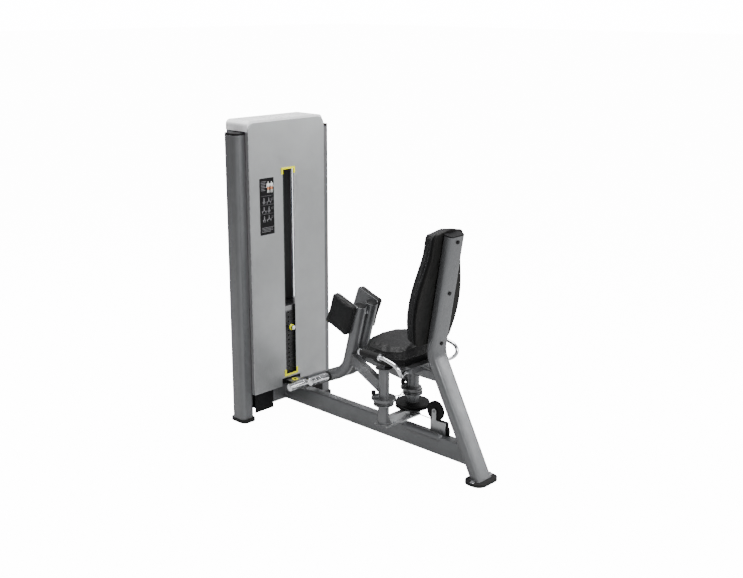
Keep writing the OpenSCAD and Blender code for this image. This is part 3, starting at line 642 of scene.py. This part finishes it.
def cushion(name, node, body, place, voxel, inset, cap, crown, foot):
    """A stuffed cushion in the space of a CAD solid. place takes the cushion's own frame, with
    +Z out of its face, to the row frame. The solid's skin is drawn in by inset and shaped by
    crown, then swells in the cloth run by no more than cap, pinned over the height of foot."""
    source = NODES[node]
    work = bpy.data.objects.new(name, source.data.copy())
    SCENE.collection.objects.link(work)
    work.data.transform(place.inverted())
    remesh = work.modifiers.new("remesh", "REMESH")
    remesh.mode = "VOXEL"
    remesh.voxel_size = voxel
    mesh = evaluated(work)
    work.modifiers.clear()
    work.data = mesh
    co = positions(mesh)
    low, high = co.min(0), co.max(0)
    co = relaxed(mesh, co, 4)
    set_positions(mesh, co)
    normals = normals_of(mesh)
    inward = np.where(normals[:, 2:3] < -0.6, 0.0, inset)
    co = co - normals * inward
    co = crown(co, low, high)
    set_positions(mesh, co)
    group = work.vertex_groups.new(name="held")
    pinned = np.nonzero(co[:, 2] < low[2] + foot)[0]
    group.add(pinned.tolist(), 1.0, "REPLACE")
    cloth = work.modifiers.new("cloth", "CLOTH")
    setting = cloth.settings
    setting.quality = 5
    setting.mass = 0.35
    setting.tension_stiffness = 12
    setting.compression_stiffness = 12
    setting.shear_stiffness = 6
    setting.bending_stiffness = 0.6
    setting.use_pressure = True
    setting.uniform_pressure_force = 4
    setting.effector_weights.gravity = 0
    setting.vertex_group_mass = "held"
    cloth.point_cache.frame_start = 1
    cloth.point_cache.frame_end = CLOTH_STEPS
    for step in range(1, CLOTH_STEPS + 1):
        SCENE.frame_set(step)
    moved = positions(evaluated(work))
    work.modifiers.clear()
    SCENE.frame_set(1)
    shift = moved - co
    length = np.linalg.norm(shift, axis=1, keepdims=True)
    shift *= np.minimum(1.0, cap / np.maximum(length, 1e-9))
    co = relaxed(mesh, co + shift, 1, 0.3)
    co[:, 2] = np.maximum(co[:, 2], low[2] + 0.0002)
    co = np.clip(co, low - 0.004, high + 0.006)
    set_positions(mesh, co)
    finer = work.modifiers.new("finer", "SUBSURF")
    finer.levels = finer.render_levels = 1
    mesh = evaluated(work)
    work.modifiers.clear()
    work.data = mesh
    mesh.transform(place)
    mesh.polygons.foreach_set("use_smooth", [True] * len(mesh.polygons))
    work.matrix_world = Matrix.Identity(4)
    work.vertex_groups.clear()
    dress(work, "upholstery")
    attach(work, body)
    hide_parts(node)
    return work


def surface_loop(obj, place, outline, height, count):
    """Points where a level line round the cushion meets its skin, with the way out of it."""
    tree = BVHTree.FromPolygons(
        [v.co for v in obj.data.vertices], [p.vertices for p in obj.data.polygons]
    )
    points = [Vector((*p, 0)) for p in outline]
    total = [0.0]
    for a, b in zip(points, points[1:] + points[:1]):
        total.append(total[-1] + (b - a).length)
    found, at = [], 0
    ring_points = points + points[:1]
    for i in range(count):
        s = total[-1] * i / count
        while total[at + 1] < s:
            at += 1
        a, b = ring_points[at], ring_points[at + 1]
        here = a.lerp(b, (s - total[at]) / max(total[at + 1] - total[at], 1e-9))
        out = (b - a).cross(Vector((0, 0, 1))).normalized()
        start = place @ Vector((here.x + 0.04 * out.x, here.y + 0.04 * out.y, height))
        way = (place.to_3x3() @ -out).normalized()
        hit, normal, _, _ = tree.ray_cast(start, way, 0.09)
        if hit is not None:
            found.append((hit, normal))
    return found


def seam(name, obj, place, outline, height, radius, count, body):
    """A welt along a seam, half sunk into the cushion, and a line of stitches beside it."""
    loop = surface_loop(obj, place, outline, height, count)
    up = (place.to_3x3() @ Vector((0, 0, 1))).normalized()
    smooth = [h for h, _ in loop]
    for _ in range(4):
        smooth = [
            (smooth[i - 1] + 2 * smooth[i] + smooth[(i + 1) % len(smooth)]) / 4
            for i in range(len(smooth))
        ]
    welt = Parts()
    tube(welt, smooth, radius, 8, True)
    welt.make(name + "_welt", body, "upholstery")
    stitches = Parts()
    for i in range(0, len(smooth) - 1, 2):
        normal = loop[i][1]
        lift = normal * 0.0003 - up * 0.0045
        a, b = smooth[i] + lift, smooth[i].lerp(smooth[i + 1], 0.8) + lift
        mid = (a + b) / 2 + normal * 0.0004
        tube(stitches, [a - normal * 0.0006, mid, b - normal * 0.0006], [0.0003, 0.0005, 0.0003], 6)
    stitches.make(name + "_stitches", body, "upholstery", "grey_mark")


def node_outline(node, place):
    """The outline of a prism-like CAD solid seen along its cushion's own +Z, by angle."""
    co = positions(NODES[node].data)
    inverse = np.array(place.inverted())
    local = co @ inverse[:3, :3].T + inverse[:3, 3]
    flat = np.unique(np.round(local[:, :2], 5), axis=0)
    middle = (flat.min(0) + flat.max(0)) / 2
    hull = sorted(flat.tolist(), key=lambda p: math.atan2(p[1] - middle[1], p[0] - middle[0]))
    return [tuple(p) for p in hull]


SEAT_PLACE = Matrix.Identity(4)
BACK_PLACE = (
    Matrix.Translation((0, BEND_Y, BEND_Z))
    @ Matrix.Rotation(POST_BACK_ANGLE, 4, "X")
    @ Matrix.Rotation(math.radians(-90), 4, "X")
)
PAD_TILT = math.radians(20)


def pad_place(side):
    """A thigh pad's own frame."""
    turn = Matrix.Rotation(PAD_TILT, 4, "X")
    out = Matrix(((0, 0, side), (side, 0, 0), (0, 1, 0))).to_4x4()
    return Matrix.Translation((side * 0.0705, 0.113, 0.654)) @ turn @ out


def cushion_spans(co, low, high):
    """How far over and along the face (-1 to 1) and how far up (0 to 1) each point is."""
    mid = (low + high) / 2
    half = (high - low) / 2
    u = (co[:, 0] - mid[0]) / half[0]
    v = (co[:, 1] - mid[1]) / half[1]
    rise = np.clip((co[:, 2] - low[2]) / (high[2] - low[2]), 0, 1)
    return u, v, rise


def lowered(co, drop):
    """The points, each let down by its own drop."""
    out = co.copy()
    out[:, 2] -= drop
    return out


def seat_crown(co, low, high):
    """Falls away at the sides and the ends, with a shallow dish to sit in."""
    u, v, rise = cushion_spans(co, low, high)
    drop = 0.022 * np.abs(u) ** 2.4 + 0.014 * np.clip(v, 0, 1) ** 3 + 0.004 * np.clip(-v, 0, 1) ** 2
    dish = 0.004 * np.exp(-((u / 0.5) ** 2) - ((v + 0.25) / 0.5) ** 2)
    return lowered(co, rise * (drop + dish))


def back_crown(co, low, high):
    """Falls away all round, with a channel down the middle."""
    u, v, rise = cushion_spans(co, low, high)
    drop = 0.010 * np.abs(u) ** 2.5 + 0.006 * np.abs(v) ** 4
    channel = 0.005 * np.exp(-((u / 0.10) ** 2)) * np.clip(1 - np.abs(v) ** 4, 0, 1)
    return lowered(co, rise * (drop + channel))


def pad_crown(co, low, high):
    """Falls away a little all round."""
    u, v, rise = cushion_spans(co, low, high)
    return lowered(co, rise * 0.004 * (np.abs(u) ** 3 + np.abs(v) ** 3))


seat = cushion("seat_cushion_cover", "seat_cushion", "root", SEAT_PLACE, 0.0055, 0.007, 0.009,
               seat_crown, 0.012)
seam("seat_seam", seat, SEAT_PLACE, node_outline("seat_cushion", SEAT_PLACE),
     SEAT_SEAM_Z, 0.0013, 420, "root")

back = cushion("backrest_cushion_cover", "backrest_cushion", "root", BACK_PLACE, 0.0055, 0.006, 0.008,
               back_crown, 0.012)
seam("backrest_seam", back, BACK_PLACE, node_outline("backrest_cushion", BACK_PLACE),
     BACK_SEAM_Z, 0.0013, 520, "root")

for side, hand in ((-1, "left"), (1, "right")):
    place = pad_place(side)
    pad = cushion(hand + "_thigh_pad_cover", hand + "_thigh_pad", hand + "_pad", place, 0.0045, 0.005,
                  0.006, pad_crown, 0.008)
    seam(hand + "_pad_seam", pad, place, node_outline(hand + "_thigh_pad", place),
         PAD_SEAM_Z, 0.0012, 220, hand + "_pad")

# ---------------------------------------------------------------- details


def add_shroud_rim():
    """A paler tube along the front shroud's rolled edge: partly the edge itself, mostly a painted
    highlight on its rounded corner.
    """
    low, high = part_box("front_shroud")
    x, y, r = high.x - 0.0026, low.y + 0.0032, 0.0375
    top = high.z - 0.0026
    path = [(-x, y, low.z + 0.004 + k * 0.1) for k in range(14)]
    path += [
        (-x + r - r * math.cos(a), y, top - r + r * math.sin(a))
        for a in (math.radians(5 + 8.5 * k) for k in range(11))
    ]
    path += [(-p[0], p[1], p[2]) for p in reversed(path)]
    rim = Parts()
    tube(rim, path, 0.0030, 12)
    # The tube takes the paler paint: a painted highlight along the shroud's edge.
    rim.make("shroud_rim", "root", "shroud_paint", "painted_rim_highlight")


def flat_shape(parts, points, y, thick=0.00035):
    """A thin raised shape on the placard; points are its outline in X and Z."""
    n = len(points)
    verts = [Vector((u, y, v)) for u, v in points] + [Vector((u, y - thick, v)) for u, v in points]
    faces = [[n + k for k in range(n)][::-1], list(range(n))]
    faces += [[k, n + k, n + (k + 1) % n, (k + 1) % n] for k in range(n)]
    parts.add(verts, faces)


def disc(u, v, ru, rv=None, count=20):
    """The outline of a disc or an ellipse."""
    rv = ru if rv is None else rv
    return [(u + ru * math.cos(TAU * k / count), v + rv * math.sin(TAU * k / count)) for k in range(count)]


def bar(u0, v0, u1, v1, w0, w1=None):
    """The outline of a bar between two points, w0 wide at one end and w1 at the other."""
    w1 = w0 if w1 is None else w1
    d = Vector((u1 - u0, v1 - v0)).normalized()
    n = Vector((-d.y, d.x))
    return [
        (u0 + n.x * w0 / 2, v0 + n.y * w0 / 2), (u0 - n.x * w0 / 2, v0 - n.y * w0 / 2),
        (u1 - n.x * w1 / 2, v1 - n.y * w1 / 2), (u1 + n.x * w1 / 2, v1 + n.y * w1 / 2),
    ]


def add_placard():
    """Generic figures and plain lines on the instruction plate."""
    low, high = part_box("placard")
    y = low.y
    white, warm, grey = Parts(), Parts(), Parts()
    u0, v1 = low.x, high.z

    def at(u, v):
        return u0 + u / 1000, v1 - v / 1000

    def body(u, v, k):
        """A standing figure with its feet at (u, v), k millimetres tall."""
        def line(parts, a, b, w0, w1):
            flat_shape(parts, bar(*at(u + a[0] * k, v - a[1] * k), *at(u + b[0] * k, v - b[1] * k),
                                  w0 * k / 1000, w1 * k / 1000), y)
        flat_shape(white, disc(*at(u, v - 0.93 * k), 0.055 * k / 1000, 0.07 * k / 1000), y)
        line(white, (0, 0.85), (0, 0.52), 0.24, 0.17)
        for side in (-1, 1):
            line(white, (side * 0.12, 0.82), (side * 0.2, 0.48), 0.07, 0.05)
            line(white, (side * 0.055, 0.27), (side * 0.075, 0.0), 0.075, 0.05)
            line(warm, (side * 0.05, 0.53), (side * 0.06, 0.275), 0.115, 0.08)

    def sitter(u, v, k, open_legs):
        """A seated figure in the step pictures, seen from above its knees."""
        def line(parts, a, b, w):
            flat_shape(parts, bar(*at(u + a[0] * k, v - a[1] * k), *at(u + b[0] * k, v - b[1] * k),
                                  w * k / 1000), y)
        flat_shape(grey, disc(*at(u, v - 0.86 * k), 0.09 * k / 1000), y)
        line(grey, (0, 0.74), (0, 0.36), 0.2)
        for side in (-1, 1):
            knee = side * (0.34 if open_legs else 0.12)
            line(grey, (side * 0.05, 0.36), (knee, 0.2), 0.11)
            line(grey, (knee, 0.2), (knee * 1.15, -0.1), 0.09)
            line(grey, (knee + side * 0.12, 0.34), (knee + side * 0.12, 0.08), 0.08)

    for u in (56, 78):
        body(u, 76, 58)
    for row, width in enumerate((34, 28, 31, 25, 33, 22, 29)):
        flat_shape(grey, bar(*at(8, 16 + 7.5 * row), *at(8 + width, 16 + 7.5 * row), 0.0022), y)
    for row, open_legs in enumerate((False, True, False)):
        v = 128 + 46 * row
        flat_shape(grey, bar(*at(8, v - 38), *at(85, v - 38), 0.0009), y)
        sitter(26, v, 30, open_legs)
        sitter(58, v, 30, not open_legs)
        for k in range(2):
            flat_shape(grey, bar(*at(72, v - 22 + 8 * k), *at(86 - 3 * k, v - 22 + 8 * k), 0.0018), y)
    for row, width in enumerate((78, 72, 76, 60)):
        flat_shape(grey, bar(*at(8, 252 + 7 * row), *at(8 + width, 252 + 7 * row), 0.0020), y)
    white.make("placard_figures", "root", "black_plastic", "white_mark", False)
    warm.make("placard_muscles", "root", "black_plastic", "warm_mark", False)
    grey.make("placard_lines", "root", "black_plastic", "grey_mark", False)


def add_pin_trim():
    """The selector pin's yellow collar and bright face."""
    low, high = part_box("selector_pin")
    middle = (low + high) / 2
    collar = Parts()
    lathe(collar, (middle.x, low.y + 0.0185, middle.z), (0, -1, 0),
          [(0.0112, 0), (0.0150, 0), (0.0158, 0.0012), (0.0158, 0.0038), (0.0150, 0.005), (0.0112, 0.005)])
    collar.make("pin_collar", "pin", "accent_yellow")
    cap = Parts()
    lathe(cap, (middle.x, low.y + 0.001, middle.z), (0, -1, 0),
          [(0, 0.0022), (0.006, 0.0019), (0.0092, 0.0009),
           (0.0104, -0.0008), (0.0104, -0.001), (0, -0.001)],
          closed=False)
    cap.make("pin_face", "pin", "chrome")


ARM = {
    "top": Vector((0, 0.029, 0.703)), "elbow": Vector((0, 0.124, 0.345)), "end": Vector((0, 0.445, 0.198)),
    "x": 0.040, "r": 0.030,
}


def add_arm_details(side, hand):
    """Tube plugs, peg washers and bands, and welds of one arm."""
    body = hand + "_arm"
    x = side * ARM["x"]
    plugs, washers, buttons, welds = Parts(), Parts(), Parts(), Parts()
    for end, before in ((ARM["top"], ARM["elbow"]), (ARM["end"], ARM["elbow"])):
        way = (end - before).normalized()
        lathe(plugs, (x, end.y, end.z), way,
              [(0, 0.0046), (0.016, 0.0040), (0.0255, 0.0022), (0.0292, 0.0004), (0.0292, 0.0002),
               (0.0268, 0.0), (0.0268, -0.012), (0, -0.012)], 48, closed=False)
        weld_bead(welds, ring((x, end.y - way.y * 0.002, end.z - way.z * 0.002), way, 0.0296, 72), 0.0012)
    slope = (ARM["end"].z - ARM["elbow"].z) / (ARM["end"].y - ARM["elbow"].y)
    for y in (0.388, 0.233):
        z = ARM["elbow"].z + (y - ARM["elbow"].y) * slope
        root = side * (ARM["x"] + ARM["r"])
        lathe(washers, (root - side * 0.004, y, z), (side, 0, 0),
              [(0.0192, 0), (0.0245, 0), (0.0252, 0.002),
               (0.0240, 0.0075), (0.0205, 0.0095), (0.0192, 0.0095)], 48)
        lathe(buttons, (side * 0.196, y, z), (side, 0, 0),
              [(0, 0.0026), (0.007, 0.0024), (0.0125, 0.0012),
               (0.0155, -0.0004), (0.0155, -0.003), (0, -0.003)],
              40, closed=False)
        for at in (0.032, 0.064, 0.096):
            lathe(buttons, (root + side * at, y, z), (side, 0, 0),
                  [(0.0186, -0.0012), (0.0194, -0.0007), (0.0194, 0.0007), (0.0186, 0.0012)], 48)
    plugs.make(body + "_tube_plugs", body, "black_plastic")
    washers.make(body + "_peg_washers", body, "black_rubber")
    buttons.make(body + "_peg_bands", body, "chrome")
    foot = Vector((side * HUB_X, HUB_Y, 0.349))
    top = Vector((side * 0.040, 0.097, 0.426))
    way = (top - foot).normalized()
    across = Vector((way.y, -way.x, 0)).normalized()
    up = across.cross(way) * (1 if across.cross(way).z > 0 else -1)
    for origin, step in ((foot, SLEEVE_R[hand] / way.xy.length + 0.0008), (top, -0.031)):
        near = origin + way * step
        corners = [near + across * (0.015 * a) + up * (0.03 * b) for a, b in
                   ((1, 1), (0, 1.0), (-1, 1), (-1, 0), (-1, -1), (0, -1), (1, -1), (1, 0))]
        weld_bead(welds, corners, 0.0026)
    welds.make(body + "_welds", body, "frame_paint")


def add_brace_end():
    """The capped end of the right brace, where it comes through on the near side of its hub."""
    stub = Parts()
    way = Vector((-0.22, -0.97, 0)).normalized()
    root = Vector((HUB_X, HUB_Y, 0.417))
    r = 0.0285
    lathe(stub, root + way * 0.020, way,
          [(r, 0), (r, 0.026), (r + 0.0012, 0.0264), (r + 0.0012, 0.0292), (r - 0.001, 0.031),
           (r * 0.5, 0.0318), (0, 0.032)], 56, closed=False)
    stub.make("right_brace_end", "right_arm", "frame_paint")


def rounded_loop(cx, cy, z, w, d, r):
    """A level loop round a rounded box."""
    return [Vector((cx + x, cy + y, z)) for x, y in round_box(w, d, r)]


def add_frame_welds():
    """Beads where the beam, the seat rail, the hubs and the foot meet the frame."""
    welds = Parts()
    lean = math.tan(POST_LEG_ANGLE)

    def face_y(z):
        """Where the front face of the rear post's leg is at a height."""
        return BEND_Y - (BEND_Z - z) * lean + POST_HALF_DEPTH / math.cos(POST_LEG_ANGLE)

    for w, z0, z1 in ((0.028, 0.064, 0.158), (0.025, 0.424, 0.474)):
        mid = (z0 + z1) / 2
        steps = [(-w, z0), (-w, mid), (-w, z1), (0, z1), (w, z1), (w, mid), (w, z0), (0, z0)]
        weld_bead(welds, [Vector((x, face_y(z) + 0.0008, z)) for x, z in steps], 0.0032)
    for side, hand in ((-1, "left"), (1, "right")):
        x = side * HUB_X
        weld_bead(welds, ring((x, HUB_Y, 0.1745), (0, 0, 1), SLEEVE_R[hand] + 0.0005, 72), 0.0028)
        weld_bead(welds, ring((x, HUB_Y, 0.1665), (0, 0, 1), 0.0375, 72), 0.0024)
        plate_edge = [Vector((side * 0.0285, y / 1000, 0.1585)) for y in range(-226, -146, 10)]
        weld_bead(welds, plate_edge, 0.0026, False)
    low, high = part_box("base_beam")
    weld_bead(welds, [Vector((x, high.y - 0.0015, z)) for x, z in
                      ((-0.028, 0.066), (-0.0285, 0.11), (-0.0285, 0.157), (0, 0.1585),
                       (0.0285, 0.157), (0.0285, 0.11), (0.028, 0.066))], 0.0028, False)
    foot_y = BEND_Y - (BEND_Z - 0.0155) * lean
    weld_bead(welds, rounded_loop(0, foot_y, 0.0158, 0.101, 0.0575, 0.014), 0.0024)
    welds.make("frame_welds", "root", "frame_paint")


def hex_bolt(parts, at, axis, r, h):
    """A hexagon head on its washer."""
    turn = frame_of(axis)
    at = Vector(at)
    lathe(parts, at, axis, [(r * 0.4, 0), (r * 1.45, 0), (r * 1.5, 0.0006),
                            (r * 1.4, 0.0016), (r * 0.4, 0.0016)])
    at = at + Vector(axis).normalized() * 0.0015
    rows = [(r * 0.97, 0.0), (r, 0.0006), (r, h - 0.001), (r * 0.88, h), (r * 0.5, h + 0.0002)]
    verts, faces = [], []
    for radius, height in rows:
        for k in range(6):
            a = TAU * k / 6
            verts.append(at + turn @ Vector((radius * math.cos(a), radius * math.sin(a), height)))
    for i in range(len(rows) - 1):
        for k in range(6):
            n = (k + 1) % 6
            faces.append([i * 6 + k, i * 6 + n, (i + 1) * 6 + n, (i + 1) * 6 + k])
    faces.append(list(range(6))[::-1])
    faces.append([(len(rows) - 1) * 6 + k for k in range(6)])
    parts.add(verts, faces)


def add_fasteners():
    """Bolts of the frame and screws of the rear shroud."""
    bolts = Parts()
    for side in (-1, 1):
        hex_bolt(bolts, (side * 0.066, -0.705, 0.015), (0, 0, 1), 0.0075, 0.006)
        for y in (-0.215, -0.159):
            hex_bolt(bolts, (side * 0.058, y, 0.166), (0, 0, 1), 0.0065, 0.005)
    bolts.make("frame_bolts", "root", "steel", smooth=False)
    screws = Parts()
    low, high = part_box("rear_shroud")
    for x in (-0.235, 0.235):
        for k in range(5):
            z = low.z + 0.05 + k * (high.z - low.z - 0.1) / 4
            lathe(screws, (x, high.y - 0.0002, z), (0, 1, 0),
                  [(0, 0.0006), (0.0016, 0.0006), (0.0022, 0.0016), (0.004, 0.0014),
                   (0.0052, 0.0002), (0.0052, -0.0004), (0, -0.0004)],
                  24, closed=False)
    screws.make("shroud_screws", "root", "steel")


def add_stack_cable():
    """The cable over the stack, which the top pulley takes up as the stack rises."""
    low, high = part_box("stack_cable")
    middle = (low + high) / 2
    parts = Parts()
    tube(parts, [(middle.x, middle.y, low.z + (high.z - low.z) * k / 60) for k in range(61)], 0.0025, 16)
    cable = parts.make("stack_cable_run", "root", "cable_sheath")
    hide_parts("stack_cable")
    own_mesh(cable)


add_shroud_rim()
add_placard()
add_pin_trim()
add_arm_details(-1, "left")
add_arm_details(1, "right")
add_brace_end()
add_frame_welds()
add_fasteners()
add_stack_cable()

# ---------------------------------------------------------------- stage


def add_floor():
    """The stage: a pale floor, not part of the machine."""
    mesh = bpy.data.meshes.new("floor")
    mesh.from_pydata(
        [(-60, -60, 0), (60, -60, 0), (60, 60, 0), (-60, 60, 0)], [], [(0, 1, 2, 3)]
    )
    obj = bpy.data.objects.new("floor", mesh)
    SCENE.collection.objects.link(obj)
    s = Shader("floor_paint")
    tone = s.colours(s.noise(3.0, 4.0), [(0.3, (0.42, 0.42, 0.42)), (0.7, (0.46, 0.46, 0.46))])
    s.done(tone, s.span(s.noise(12.0, 3.0), 0.5, 0.6))
    s.bsdf.inputs["Emission Color"].default_value = (1, 1, 1, 1)
    path = s.node("ShaderNodeLightPath")
    s.link(s.span(path.outputs["Is Camera Ray"], 0.1, 14.0), s.bsdf.inputs["Emission Strength"])
    mesh.materials.append(s.material)


add_floor()
